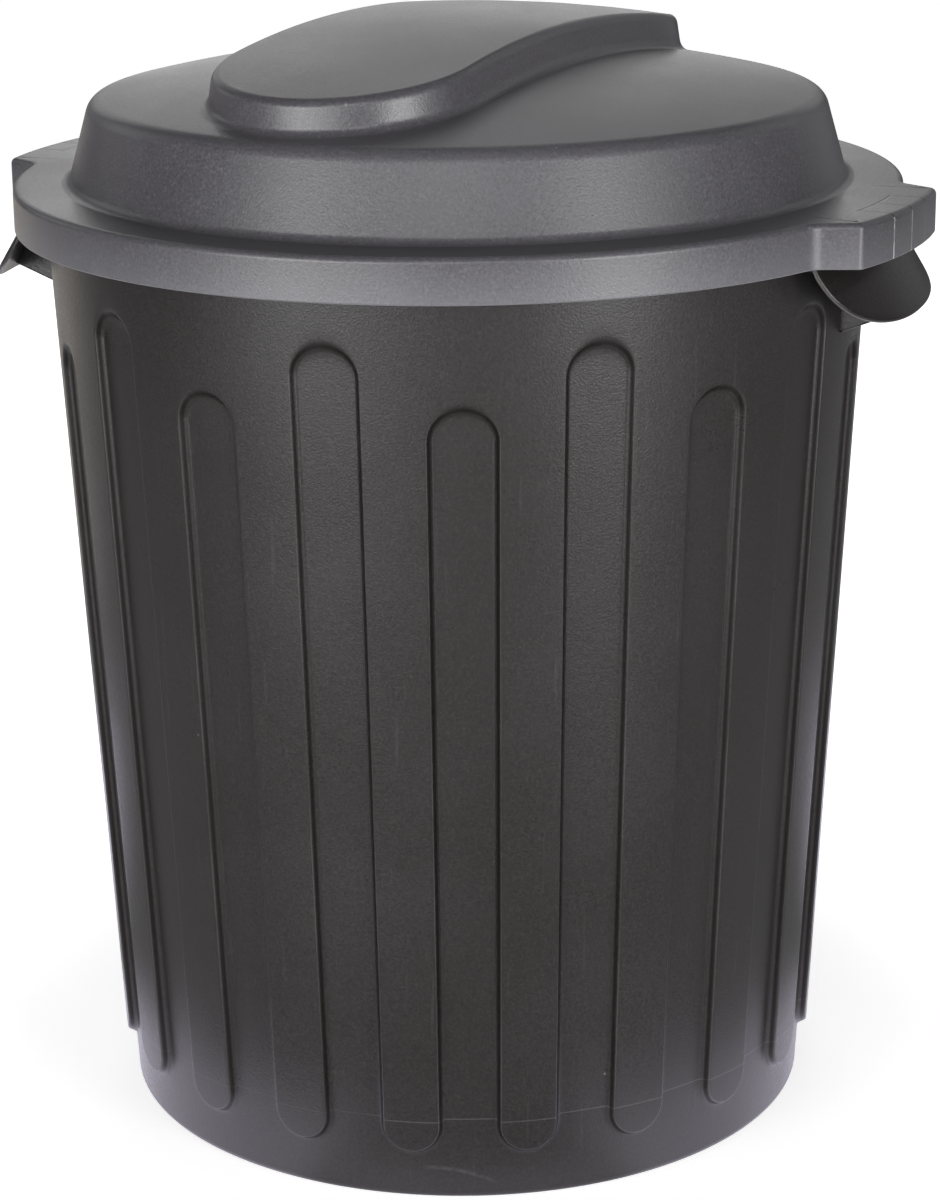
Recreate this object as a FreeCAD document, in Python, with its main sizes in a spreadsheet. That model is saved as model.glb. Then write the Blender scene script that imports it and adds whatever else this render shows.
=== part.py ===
import FreeCAD, Part
import os
import re
import Sketcher
from FreeCAD import Vector, Rotation, Placement

# A round lidded bin for animal feed, moulded in two pieces: a fluted tapering tub
# with two scoop handles under its rim, and a lift-off domed lid with a raised grip
# across it and two lugs to lift it by. Millimetres, +Z up, origin at the centre of
# the foot, handles on the X axis.

doc = FreeCAD.newDocument("feed_bin")
sheet = doc.addObject("Spreadsheet::Sheet", "sizes")

driving = [
    ("rib_base_radius", 205.5, "tub, face of the ribs carried down to the floor line"),
    ("rib_top_radius", 233.5, "tub, face of the ribs carried up to the rim"),
    ("flute_base_depth", 5.2, "tub, depth of the flutes below the ribs, at the foot"),
    ("flute_top_depth", 4.2, "tub, depth of the flutes carried up to the rim"),
    ("rim_height", 539.0, "tub, top of the rim above the ground"),
    ("tub_wall", 3.0, "tub, wall thickness"),
    ("tub_base", 4.0, "tub, thickness of the bottom"),
    ("foot_round", 5.0, "tub, rounding of the bottom edge"),
    ("foot_recess", 4.0, "tub, depth of the hollow under the bottom"),
    ("foot_ring", 24.0, "tub, width of the ring that it stands on"),
    ("rim_lip", 10.0, "tub, height of the lip that turns down from the rim"),
    ("rim_flange", 13.3, "tub, how far the rim stands out from the wall"),
    ("flute_count", 20.0, "flutes round the tub, tall and short in turn"),
    ("flute_half_angle", 4.7, "half the angle that a flute takes up"),
    ("flute_tall_drop", 49.0, "from the rim down to the top of a tall flute"),
    ("flute_short_drop", 81.0, "from the rim down to the top of a short flute"),
    ("flute_arch", 16.0, "corner radius at the top of a flute"),
    ("rib_end", 33.0, "height of the lower end of the ribs"),
    ("rib_end_round", 14.0, "corner radius of the lower end of a rib"),
    ("flap_drop", 38.5, "handle, height of the flap below the lid's skirt"),
    ("flap_flare", 21.2, "handle, how far the flap's foot stands out from the rim"),
    ("flap_half_width", 101.5, "handle, half the width of the flap"),
    ("flap_round", 44.0, "handle, corner radius of the flap"),
    ("flap_wall", 3.0, "handle, thickness of the flap"),
    ("gusset_wall", 3.0, "handle, thickness of a gusset"),
    ("gusset_spread", 31.0, "handle, gussets either side of its middle"),
    ("gusset_foot_drop", 11.0, "handle, from the flap's foot down to where a gusset leaves the tub"),
    ("gusset_tip_rise", 3.5, "handle, from the flap's foot up to where a gusset meets it"),
    ("lid_wall", 2.5, "lid, wall thickness"),
    ("lid_clearance", 1.3, "lid, gap between its skirt and the rim of the tub"),
    ("skirt_depth", 24.5, "lid, height of the skirt"),
    ("skirt_round", 3.5, "lid, rounding along the top of the skirt"),
    ("flange_width", 31.2, "lid, from the outside of the skirt in to the foot of the dome"),
    ("dome_lean", 22.6, "lid, how far the dome's wall leans in over its blank's height"),
    ("dome_blank_height", 80.0, "lid, height of that blank, which the crown cuts off"),
    ("dome_shoulder", 11.0, "lid, rounding between the dome wall and the crown"),
    ("crown_rise", 71.4, "lid, middle of the crown above the flange"),
    ("crown_radius", 842.0, "lid, radius of the sphere of the crown"),
    ("grip_rise", 19.3, "lid, grip above the crown"),
    ("grip_reach", 112.5, "lid, centres of the round ends of the grip from the middle"),
    ("grip_foot_half", 84.6, "lid, half width of the grip's blank at its foot"),
    ("grip_lean", 15.0, "lid, how far the grip's wall leans in over its blank's height"),
    ("grip_foot_level", 40.0, "lid, foot of the grip's blank above the flange"),
    ("grip_blank_height", 60.0, "lid, height of that blank, which the grip's top cuts off"),
    ("grip_round", 5.0, "lid, rounding along the top of the grip"),
    ("grip_turn", -2.0, "lid, angle of the grip off the square to the lugs"),
    ("lug_overhang", 2.5, "lid, how far the lugs stand out past the handles' flaps"),
    ("lug_root_half", 69.0, "lid, half width of a lug at the skirt"),
    ("lug_face_half", 59.0, "lid, half width of a lug at its face"),
    ("lug_round", 6.0, "lid, rounding of the upright corners of a lug"),
    ("lug_rib_wall", 2.5, "lid, thickness of the ribs inside a lug"),
    ("lug_rib_pitch", 25.0, "lid, distance between the ribs inside a lug"),
    ("lid_turn", -9.0, "lid, angle at which it lies on the tub"),
    ("dome_foot_round", 5.0, "lid, hollow rounding round the foot of the dome"),
    ("half_turn", 180.0, "degrees in half a turn"),
    ("overrun", 30.0, "how far cutting solids run past what they cut"),
    ("pick_margin", 0.5, "how near to its level an edge must lie to be picked for rounding"),
]
for row, (alias, value, note) in enumerate(driving, start=1):
    sheet.set("A%d" % row, note)
    sheet.set("B%d" % row, str(value))
    sheet.setAlias("B%d" % row, alias)
doc.recompute()

size = {alias: sheet.get(alias) for alias, value, note in driving}
fullTurn = 2 * size["half_turn"]
margin = size["pick_margin"]
across = Vector(1, 0, 0)
along = Vector(0, 1, 0)
axis = Vector(0, 0, 1)
upright = Rotation(across, fullTurn / 4)
crosswise = Rotation(Vector(1, 1, 1), fullTurn / 3)
names = "|".join(sorted(size, key=len, reverse=True))


# A sum in the sheet's words, with each word pointed at its cell.
def bound(words):
    return re.sub(r"\b(%s)\b" % names, r"sizes.\1", words)


def number(words):
    return float(sheet.evalExpression(bound(words)))


# Adds an object and binds its properties to the sheet.
def add(kind, name, sums):
    thing = doc.addObject(kind, name)
    for path, words in sums.items():
        thing.setExpression(path, bound(words))
    return thing


def cylinder(name, radius, height, level="0"):
    return add("Part::Cylinder", name, {"Radius": radius, "Height": height, "Placement.Base.z": level})


def cone(name, lower, upper, height, level="0", y="0"):
    return add("Part::Cone", name, {"Radius1": lower, "Radius2": upper, "Height": height,
                                    "Placement.Base.y": y, "Placement.Base.z": level})


def sphere(name, radius, level):
    return add("Part::Sphere", name, {"Radius": radius, "Placement.Base.z": level})


def box(name, length, width, height, x, y, z):
    return add("Part::Box", name, {"Length": length, "Width": width, "Height": height,
                                   "Placement.Base.x": x, "Placement.Base.y": y, "Placement.Base.z": z})


def cut(name, base, tool):
    thing = doc.addObject("Part::Cut", name)
    thing.Base = base
    thing.Tool = tool
    return thing


def common(name, *shapes):
    thing = doc.addObject("Part::MultiCommon", name)
    thing.Shapes = list(shapes)
    return thing


def fuse(name, *shapes):
    thing = doc.addObject("Part::MultiFuse", name)
    thing.Shapes = list(shapes)
    thing.Refine = True
    return thing


# A closed outline of straight lines, each corner held at its two bound distances.
def outline(name, rotation, corners):
    thing = doc.addObject("Sketcher::SketchObject", name)
    thing.Placement = Placement(Vector(), rotation)
    places = [Vector(number(sideways), number(up), 0) for sideways, up in corners]
    count = len(places)
    for i, place in enumerate(places):
        thing.addGeometry(Part.LineSegment(place, places[(i + 1) % count]))
    for i in range(count):
        thing.addConstraint(Sketcher.Constraint("Coincident", i, 2, (i + 1) % count, 1))
    for i, words in enumerate(corners):
        for kind, text, value in zip(("DistanceX", "DistanceY"), words, (places[i].x, places[i].y)):
            if value == 0:
                line = -2 if kind == "DistanceX" else -1
                thing.addConstraint(Sketcher.Constraint("PointOnObject", i, 1, line))
            else:
                index = thing.addConstraint(Sketcher.Constraint(kind, -1, 1, i, 1, value))
                thing.setExpression("Constraints[%d]" % index, bound(text))
    return thing


def extrude(name, sketch, direction, forward, backward="0"):
    thing = add("Part::Extrusion", name, {"LengthFwd": forward, "LengthRev": backward})
    thing.Base = sketch
    thing.DirMode = "Custom"
    thing.Dir = direction
    thing.Solid = True
    return thing


# Rounds the edges of a finished form that a test picks, all with one radius.
def rounded(name, base, radius, picks):
    doc.recompute()
    thing = doc.addObject("Part::Fillet", name)
    thing.Base = base
    found = [i for i, edge in enumerate(base.Shape.Edges, start=1) if not edge.Degenerated and picks(edge)]
    thing.Edges = [(i, number(radius), number(radius)) for i in found]
    print(name, "rounds", len(found), "edges")
    return thing


def isLine(edge):
    return isinstance(edge.Curve, Part.Line)


def isLevel(edge, level):
    bounds = edge.BoundBox
    return abs(bounds.ZMin - level) < margin and abs(bounds.ZMax - level) < margin


def isRing(edge, level, radius):
    bounds = edge.BoundBox
    reach = max(-bounds.XMin, bounds.XMax, -bounds.YMin, bounds.YMax)
    return isLevel(edge, level) and abs(reach - radius) < margin


def crossesAxis(edge):
    bounds = edge.BoundBox
    return max(bounds.XMin, -bounds.XMax, bounds.YMin, -bounds.YMax) < margin


# One flute as a cutting solid on the -Y side. Its outline is an arched slot that
# widens at the foot round the lower corners of the two ribs beside it. The part
# inside the flute's own floor is taken away, so what is left only shaves the ribs.
def fluteTool(label, top, inset, core):
    low = "tan(flute_half_angle) * rib_base_radius + " + inset
    high = "tan(flute_half_angle) * rib_top_radius + " + inset
    step = "tan(half_turn / flute_count) * rib_top_radius"
    end = "rib_end + " + inset
    sketch = outline(label + "_outline", upright, [
        ("-(%s)" % step, "-overrun"), (step, "-overrun"), (step, end), (low, end),
        (high, top), ("-(%s)" % high, top), ("-(%s)" % low, end), ("-(%s)" % step, end)])
    blank = extrude(label + "_blank", sketch, Vector(0, -1, 0), "rib_top_radius + overrun", "-rib_base_radius / 2")
    doc.recompute()
    level = number(top)
    foot = number(end)
    corner = number(low)
    arch = rounded(label + "_arch", blank, "flute_arch + " + inset,
                   lambda e: isLine(e) and isLevel(e, level) and e.BoundBox.YLength > margin)
    flare = rounded(label + "_flare", arch, "rib_end_round - " + inset,
                    lambda e: isLine(e) and isLevel(e, foot) and e.BoundBox.YLength > margin
                    and abs(abs(e.BoundBox.XMin) - corner) < margin)
    return cut(label, flare, core)


# The tub's skin at a given depth below its outside: the cone of the rib faces
# with all flutes shaved off it. Depth nothing is the outside and depth tub_wall the inside.
def skin(label, inset, lowest):
    face = cone(label + "_face", "rib_base_radius + (rib_top_radius - rib_base_radius) * (%s) / rim_height - %s"
                % (lowest, inset), "rib_top_radius - " + inset, "rim_height - (%s)" % lowest, lowest)
    core = cone(label + "_core_blank", "%s - %s" % (floorFoot, inset), "rib_top_radius - flute_top_depth - " + inset,
                "rim_height")
    reach = number("%s - %s" % (floorFoot, inset))
    core = rounded(label + "_core", core, "foot_round", lambda e: isRing(e, 0, reach))
    tools = [fluteTool(label + "_tall", "rim_height - flute_tall_drop + " + inset, inset, core),
             fluteTool(label + "_short", "rim_height - flute_short_drop + " + inset, inset, core)]
    doc.recompute()
    ring = doc.addObject("Part::Feature", label + "_flutes")
    count = 2 * round(size["flute_count"] / 2)
    turned = []
    for i in range(count):
        flute = tools[i % 2].Shape.copy()
        flute.rotate(Vector(), axis, i * fullTurn / count)
        turned.append(flute)
    ring.Shape = Part.makeCompound(turned)
    return cut(label, face, ring)


# The tub
floorLevel = "foot_recess + tub_base"
floorFoot = "(rib_base_radius - flute_base_depth)"
lipRadius = "(rib_top_radius + rim_flange)"
skirtLevel = "(rim_height + lid_wall - skirt_depth)"
flapFoot = "(rim_height + lid_wall - skirt_depth - flap_drop)"
flapRadius = "(rib_top_radius + rim_flange + flap_flare)"


# Everything within the handles' flared outside, at a given depth below it.
def flareForm(label, inset, lowest):
    flare = cone(label + "_flare", "%s - %s" % (flapRadius, inset), "%s - %s" % (lipRadius, inset),
                 "flap_drop", flapFoot)
    lip = cylinder(label + "_lip", "%s - %s" % (lipRadius, inset), "rim_height - (%s) - (%s)" % (lowest, skirtLevel),
                   skirtLevel)
    return fuse(label, flare, lip)


outside = skin("tub_outside", "0", "0")
inside = skin("tub_inside", "tub_wall", floorLevel)
recess = cylinder("tub_recess", floorFoot + " - foot_ring", "foot_recess")

rimBlank = cylinder("rim_blank", lipRadius, "rim_lip", "rim_height - rim_lip")
rimHollow = cylinder("rim_hollow", "%s - tub_wall" % lipRadius, "rim_lip - tub_wall", "rim_height - rim_lip")
rim = cut("rim", rimBlank, rimHollow)

flare = flareForm("flare_outside", "0", "0")
flareHollow = flareForm("flare_inside", "flap_wall", "tub_wall")
flareShell = cut("flare_shell", flare, flareHollow)
flapOutline = outline("flap_outline", crosswise, [
    ("-flap_half_width", flapFoot), ("flap_half_width", flapFoot),
    ("flap_half_width", "rim_height"), ("-flap_half_width", "rim_height")])
flapBlank = extrude("flap_blank", flapOutline, across, flapRadius, flapRadius)
flapWindow = rounded("flap_window", flapBlank, "flap_round",
                     lambda e: isLevel(e, number(flapFoot)) and e.BoundBox.XLength > margin)
flaps = common("flaps", flareShell, flapWindow)

gussetOutline = outline("gusset_outline", upright, [
    ("rib_base_radius", flapFoot + " - gusset_foot_drop"),
    ("rib_top_radius - tub_wall", flapFoot + " - gusset_foot_drop"),
    (flapRadius, flapFoot + " + gusset_tip_rise"), (flapRadius, "rim_height"), ("rib_base_radius", "rim_height")])
gussetFar = "(gusset_spread + gusset_wall / 2)"
gussetNear = "(gusset_spread - gusset_wall / 2)"
gussetBack = extrude("gusset_back", gussetOutline, along, gussetFar, "-" + gussetNear)
gussetFront = extrude("gusset_front", gussetOutline, -along, gussetFar, "-" + gussetNear)
gussetPair = fuse("gusset_pair", gussetBack, gussetFront)
gussetTrim = common("gusset_trim", gussetPair, flare)
gussetTwin = doc.addObject("Part::Mirroring", "gusset_twin")
gussetTwin.Source = gussetTrim
gussetTwin.Normal = across

tubBlank = fuse("tub_blank", outside, rim, flaps, gussetTrim, gussetTwin)
tubShell = cut("tub_shell", tubBlank, inside)
tub = cut("tub", tubShell, recess)


# The lid
skirtRadius = "(rib_top_radius + rim_flange + lid_clearance + lid_wall)"
domeFoot = skirtRadius + " - flange_width"
lugReach = flapRadius + " + lug_overhang"


# The dome at a given depth below its outside.
def domeForm(label, inset):
    flange = "rim_height + lid_wall"
    wall = cone(label + "_wall", "%s - %s" % (domeFoot, inset), "%s - dome_lean - %s" % (domeFoot, inset),
                "dome_blank_height", flange)
    crown = sphere(label + "_crown", "crown_radius - " + inset, flange + " + crown_rise - crown_radius")
    blank = common(label + "_blank", wall, crown)
    low = number(flange)
    return rounded(label, blank, "dome_shoulder - " + inset,
                   lambda e: e.BoundBox.ZMin > low + margin and e.BoundBox.ZLength < margin)


# The grip, a bar with round ends whose walls lean in and whose top follows the crown.
def gripForm(label, inset):
    flange = "rim_height + lid_wall"
    foot = "grip_foot_half - " + inset
    head = "grip_foot_half - grip_lean - " + inset
    low = flange + " + grip_foot_level"
    high = low + " + grip_blank_height"
    bar = outline(label + "_outline", upright, [
        ("-(%s)" % foot, low), (foot, low), (head, high), ("-(%s)" % head, high)])
    middle = extrude(label + "_middle", bar, along, "grip_reach", "grip_reach")
    front = cone(label + "_front", foot, head, "grip_blank_height", low, "-grip_reach")
    back = cone(label + "_back", foot, head, "grip_blank_height", low, "grip_reach")
    blank = fuse(label + "_bar", middle, front, back)
    crown = sphere(label + "_crown", "crown_radius + grip_rise - " + inset,
                   flange + " + crown_rise - crown_radius")
    trimmed = common(label + "_trimmed", blank, crown)
    base = number(low)
    grip = rounded(label, trimmed, "grip_round - " + inset,
                   lambda e: e.BoundBox.ZMin > base + margin and not crossesAxis(e))
    grip.setExpression("Placement.Rotation.Angle", bound("grip_turn * 1 deg"))
    return grip


# The outline of both lugs as one bar across the lid, narrower toward its ends.
def lugForm(label, inset, lowest, height):
    root = "lug_root_half - " + inset
    face = "lug_face_half - " + inset
    reach = "%s - %s" % (lugReach, inset)
    sketch = outline(label + "_outline", Rotation(), [
        ("-(%s)" % reach, "-(%s)" % face), ("0", "-(%s)" % root), (reach, "-(%s)" % face),
        (reach, face), ("0", root), ("-(%s)" % reach, face)])
    bar = extrude(label + "_bar", sketch, axis, "%s + %s" % (lowest, height), "-(%s)" % lowest)
    return common(label, bar, cylinder(label + "_reach", reach, height, lowest))


skirt = cylinder("skirt", skirtRadius, "skirt_depth", skirtLevel)
lugBar = lugForm("lug_outside", "0", skirtLevel, "skirt_depth")
skirtBlank = fuse("skirt_blank", skirt, lugBar)
skirtCorners = rounded("skirt_corners", skirtBlank, "lug_round",
                       lambda e: isLine(e) and e.BoundBox.ZLength > size["skirt_round"])
flangeTop = number("rim_height + lid_wall")
skirtEdge = rounded("skirt_edge", skirtCorners, "skirt_round", lambda e: isLevel(e, flangeTop))
dome = domeForm("dome_outside", "0")
grip = gripForm("grip_outside", "0")
lidBlank = fuse("lid_blank", skirtEdge, dome, grip)
lidOutside = rounded("lid_outside", lidBlank, "dome_foot_round",
                     lambda e: isRing(e, flangeTop, number(domeFoot)))

skirtHollow = cylinder("skirt_hollow", skirtRadius + " - lid_wall", "skirt_depth - lid_wall", skirtLevel)
domeThroat = cylinder("dome_throat", domeFoot + " - lid_wall", "lid_wall", "rim_height")
domeHollow = domeForm("dome_inside", "lid_wall")
gripHollow = gripForm("grip_inside", "lid_wall")
lidHollow = fuse("lid_hollow", skirtHollow, domeThroat, domeHollow, gripHollow)
lidShell = cut("lid_shell", lidOutside, lidHollow)

pocketBar = lugForm("lug_inside", "lid_wall", skirtLevel, "skirt_depth - lid_wall")
skirtKeep = cylinder("skirt_keep", skirtRadius, "skirt_depth", skirtLevel)
pockets = cut("lug_pockets", pocketBar, skirtKeep)
lugRibs = [box("lug_rib_" + side, "2 * (%s)" % lugReach, "lug_rib_wall", "skirt_depth", "-(%s)" % lugReach,
               "%s - lug_rib_wall / 2" % place, skirtLevel)
           for side, place in (("front", "-lug_rib_pitch"), ("middle", "0"), ("back", "lug_rib_pitch"))]
lugRooms = cut("lug_rooms", pockets, fuse("lug_ribs", *lugRibs))
lid = cut("lid", lidShell, lugRooms)
lid.setExpression("Placement.Rotation.Angle", bound("lid_turn * 1 deg"))
doc.recompute()

for thing in doc.Objects:
    if "Invalid" in thing.State or "Error" in thing.State:
        raise RuntimeError(thing.Name + " did not build")
os.makedirs("parts", exist_ok=True)
for thing in (tub, lid):
    thing.Label = thing.Name
    shape = thing.Shape
    if shape.isNull() or not shape.isValid() or len(shape.Solids) != 1:
        raise RuntimeError(thing.Name + " is not one sound solid")
    print(thing.Name, round(shape.Volume), "cubic mm")
    shape.exportStep("parts/%s.step" % thing.Label)
print("shared by tub and lid:", round(tub.Shape.common(lid.Shape).Volume), "cubic mm")
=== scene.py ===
import math

import bmesh
import bpy
import numpy as np
from mathutils import Matrix, Vector


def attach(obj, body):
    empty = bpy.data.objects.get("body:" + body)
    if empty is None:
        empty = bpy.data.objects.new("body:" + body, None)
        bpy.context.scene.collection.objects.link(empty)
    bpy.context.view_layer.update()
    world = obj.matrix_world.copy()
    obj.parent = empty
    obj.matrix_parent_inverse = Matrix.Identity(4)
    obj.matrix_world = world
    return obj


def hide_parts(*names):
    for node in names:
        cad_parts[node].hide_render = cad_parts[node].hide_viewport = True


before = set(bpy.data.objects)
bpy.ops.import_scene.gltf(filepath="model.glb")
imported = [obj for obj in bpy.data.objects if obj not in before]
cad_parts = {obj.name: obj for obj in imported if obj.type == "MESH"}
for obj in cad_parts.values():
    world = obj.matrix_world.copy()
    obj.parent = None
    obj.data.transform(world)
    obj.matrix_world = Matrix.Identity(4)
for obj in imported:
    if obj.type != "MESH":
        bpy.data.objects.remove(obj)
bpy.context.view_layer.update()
print("frame loaded")


# Shared mesh helpers

# Turns a path of corner points into a finer one: each corner with a radius becomes an
# arc that touches both of its sides, centred on the line that halves the corner.
def roundedPath(corners, radii, arcSteps, closed=False):
    corners = np.asarray(corners, float)
    count = len(corners)
    path = []
    for i, (corner, radius) in enumerate(zip(corners, radii)):
        if radius == 0 or (not closed and i in (0, count - 1)):
            path.append(corner[None])
            continue
        before = corners[i - 1] - corner
        after = corners[(i + 1) % count] - corner
        before /= np.linalg.norm(before)
        after /= np.linalg.norm(after)
        halfTurn = math.acos(np.clip(before @ after, -1, 1)) / 2
        middle = (before + after) / np.linalg.norm(before + after)
        centre = corner + middle * radius / math.sin(halfTurn)
        start = corner + before * radius / math.tan(halfTurn) - centre
        end = corner + after * radius / math.tan(halfTurn) - centre
        sweep = math.pi - 2 * halfTurn
        share = np.linspace(0, 1, arcSteps)[:, None]
        arc = (np.sin((1 - share) * sweep) * start + np.sin(share * sweep) * end) / math.sin(sweep)
        path.append(centre + arc)
    return np.concatenate(path)


# Faces of a grid of points, row by row: each face takes four neighbours in order.
def gridFaces(rows, columns, first=0, wrap=False, flip=False):
    row = np.arange(rows - 1)[:, None]
    column = np.arange(columns if wrap else columns - 1)[None]
    here = first + row * columns + column
    beside = first + row * columns + (column + 1) % columns
    quads = np.stack([here, beside, beside + columns, here + columns], axis=-1).reshape(-1, 4)
    return quads[:, ::-1] if flip else quads


# Gives a grid of points its fourth number: above zero the share of the light line on an edge,
# partly wear and partly a painted highlight; below zero the share of painted shade on a slope.
def withEdge(points, share=0.0):
    return np.concatenate([points, np.broadcast_to(share, points.shape[:-1])[..., None]], axis=-1)


# Makes one closed object of several grids of points, joining points that coincide.
def meshFromGrids(name, grids):
    points, faces, first = [], [], 0
    for grid, wrap, flip in grids:
        rows, columns = grid.shape[:2]
        points.append(grid.reshape(-1, 4))
        faces.append(gridFaces(rows, columns, first, wrap, flip))
        first += rows * columns
    points = np.concatenate(points)
    mesh = bpy.data.meshes.new(name)
    mesh.from_pydata(points[:, :3].tolist(), [], np.concatenate(faces).tolist())
    mesh.attributes.new("edge", "FLOAT", "POINT").data.foreach_set("value", points[:, 3].astype(np.float32))
    form = bmesh.new()
    form.from_mesh(mesh)
    bmesh.ops.remove_doubles(form, verts=form.verts, dist=weldDistance)
    bmesh.ops.dissolve_degenerate(form, edges=form.edges, dist=weldDistance)
    openEdges = sum(1 for edge in form.edges if len(edge.link_faces) != 2)
    form.to_mesh(mesh)
    form.free()
    mesh.polygons.foreach_set("use_smooth", np.ones(len(mesh.polygons), bool))
    thing = bpy.data.objects.new(name, mesh)
    bpy.context.scene.collection.objects.link(thing)
    print(name, len(mesh.polygons), "faces", openEdges, "open edges")
    return thing


# Closes a tube of points at both ends, by drawing its end loops in to their middles.
def capped(tube):
    ends = [np.broadcast_to(tube[:, k].mean(axis=0), (len(tube), 1, tube.shape[-1])) for k in (0, -1)]
    return np.concatenate([ends[0], tube, ends[1]], axis=1)


# Face-weighted normals keep broad faces flat beside their narrow roundings.
def weightNormals(thing):
    modifier = thing.modifiers.new("faceNormals", "WEIGHTED_NORMAL")
    modifier.mode = "FACE_AREA"
    modifier.keep_sharp = True


weldDistance = 2e-6
archSteps = 24
smallArcSteps, midArcSteps, bigArcSteps = 6, 9, 11

# The tub. Lengths in metres, angles in degrees.
tub = {
    "footRadius": 0.2055,
    "rimRadius": 0.2335,
    "fluteFootRadius": 0.2003,
    "fluteRimRadius": 0.2293,
    "rimHeight": 0.539,
    "wall": 0.003,
    "base": 0.004,
    "footRound": 0.005,
    "footRing": 0.024,
    "footRecess": 0.004,
    "fluteCount": 20,
    "fluteHalfAngle": 4.75,
    "fluteTall": 0.490,
    "fluteShort": 0.458,
    "fluteArch": 0.0165,
    "ribEnd": 0.0290,
    "ribArch": 0.0155,
    "slopeWidth": 0.0027,
    "archSlope": 0.0024,
    "shoulderSoftShare": 0.12,
    "archSoftShare": 0.16,
    "hollowSoftShare": 0.22,
    "slopeShares": (-0.9, -0.45, -0.2, -0.08, 0.0, 0.1, 0.25, 0.5, 0.75, 0.95, 1.2, 1.9),
    # The light line on the edges is partly wear and partly a painted highlight: its width, a second fainter
    # line further down the slope, and how it grows round rib ends and fades round flute arches.
    "lineShare": 0.11,
    "secondLine": 0.75,
    "secondLineShare": 0.08,
    "secondLineLight": 0.55,
    "archFade": 0.9,
    "ribEndGain": 0.6,
    # Strength, middle and width of the painted shade that darkens each slope.
    "shade": 0.85,
    "shadePlace": 0.42,
    "shadeShare": 0.40,
    "lipRadius": 0.2468,
    "lipHeight": 0.010,
    "lipRound": 0.0010,
}


def ribRadius(height):
    foot, rim = tub["footRadius"], tub["rimRadius"]
    return foot + (rim - foot) * height / tub["rimHeight"]


def fluteRadius(height):
    foot, rim = tub["fluteFootRadius"], tub["fluteRimRadius"]
    return foot + (rim - foot) * height / tub["rimHeight"]


# The slope between rib and flute: a straight ramp from 0 to 1 with softly rounded
# ends, as half of 1 plus the difference of two square-root hinges.
def softRamp(share, shoulder):
    hollow = tub["hollowSoftShare"]
    return 0.5 * (1 + np.sqrt(share ** 2 + shoulder ** 2) - np.sqrt((share - 1) ** 2 + hollow ** 2))


# One tile of the wall, an upright strip centred on a slot that is arched at one end.
# Each line of points runs from the slot's middle line across its edge to the tile's
# border; lines follow the edge up one side, round the arch and down the other side.
# A flute's slope widens round its arch as the square of the arch's rise. Returns
# sideways distance, height, depth below the ribs, and the light line less the slope's
# painted shade; line and shade are bell curves over the share of the slope. The light line
# is partly wear and partly a painted highlight on the edges, stronger round the rib ends
# and fainter round the flutes' arches.
def slotTile(halfPitch, halfWidth, springHeight, archHeight, splitHeight, endHeight, raised):
    sideSteps = 8
    inner, outer = 3, 3
    side = np.linspace(0, 1, sideSteps, endpoint=False)
    turn = np.linspace(0, math.pi, archSteps + 1)
    level = np.zeros(sideSteps)
    rise = np.concatenate([level, np.sin(turn) ** 2, level])
    extra = 0.0 if raised else tub["archSlope"]
    slope = tub["slopeWidth"] + extra * rise
    archHeight = archHeight + extra
    upright = splitHeight + (springHeight - splitHeight) * side
    archWidth = halfWidth(springHeight)
    edgeX = np.concatenate([-halfWidth(upright), -archWidth * np.cos(turn), halfWidth(upright[::-1])])
    edgeZ = np.concatenate([upright, springHeight + archHeight * np.sin(turn), upright[::-1]])
    normalX = np.concatenate([level - 1, -np.cos(turn) * abs(archHeight), level + 1])
    normalZ = np.concatenate([level, np.sin(turn) * archWidth * np.sign(archHeight), level])
    length = np.hypot(normalX, normalZ)
    normalX, normalZ = normalX / length, normalZ / length
    corner = np.linspace(-1, 1, archSteps + 1)
    borderRise = splitHeight + (endHeight - splitHeight) * side
    borderX = np.concatenate([-halfPitch(borderRise), halfPitch(endHeight) * corner,
                              halfPitch(borderRise[::-1])])
    borderZ = np.concatenate([borderRise, np.full(archSteps + 1, endHeight), borderRise[::-1]])
    spineX = np.zeros_like(edgeX)
    spineZ = np.concatenate([upright, np.full(archSteps + 1, springHeight), upright[::-1]])
    distance = np.array(tub["slopeShares"])
    distance = distance if raised else distance[::-1]
    offsets = (distance if raised else -distance)[:, None] * slope
    firstX, firstZ = edgeX + normalX * offsets[0], edgeZ + normalZ * offsets[0]
    rows = [(spineX + (firstX - spineX) * share, spineZ + (firstZ - spineZ) * share)
            for share in np.linspace(0, 1, inner, endpoint=False)]
    rows += [(edgeX + normalX * offset, edgeZ + normalZ * offset) for offset in offsets]
    lastX, lastZ = rows[-1]
    rows += [(lastX + (borderX - lastX) * share, lastZ + (borderZ - lastZ) * share)
             for share in np.linspace(0, 1, outer + 1)[1:]]
    far = 1000.0 if raised else -1000.0
    share = np.concatenate([np.full(inner, -far), distance, np.full(outer, far)])
    sideways = np.stack([row[0] for row in rows])
    height = np.stack([row[1] for row in rows])
    shoulder = tub["shoulderSoftShare"] + (0.0 if raised else tub["archSoftShare"]) * rise
    # The light line: partly wear and partly a painted highlight on the edges.
    second = (share - tub["secondLine"]) / tub["secondLineShare"]
    line = np.exp(-(share / tub["lineShare"]) ** 2) + tub["secondLineLight"] * np.exp(-second ** 2)
    gain = tub["ribEndGain"] if raised else -tub["archFade"]
    # Painted shade: a darkening over the middle of each slope, faded round the rib ends.
    shade = tub["shade"] * np.exp(-((share - tub["shadePlace"]) / tub["shadeShare"]) ** 2)
    shadeFade = 1.0 if raised else 0.0
    line = line[:, None] * (1 + rise * gain)[None] - shade[:, None] * (1 - rise * shadeFade)[None]
    return sideways, height, softRamp(share[:, None], shoulder[None]), line


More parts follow.
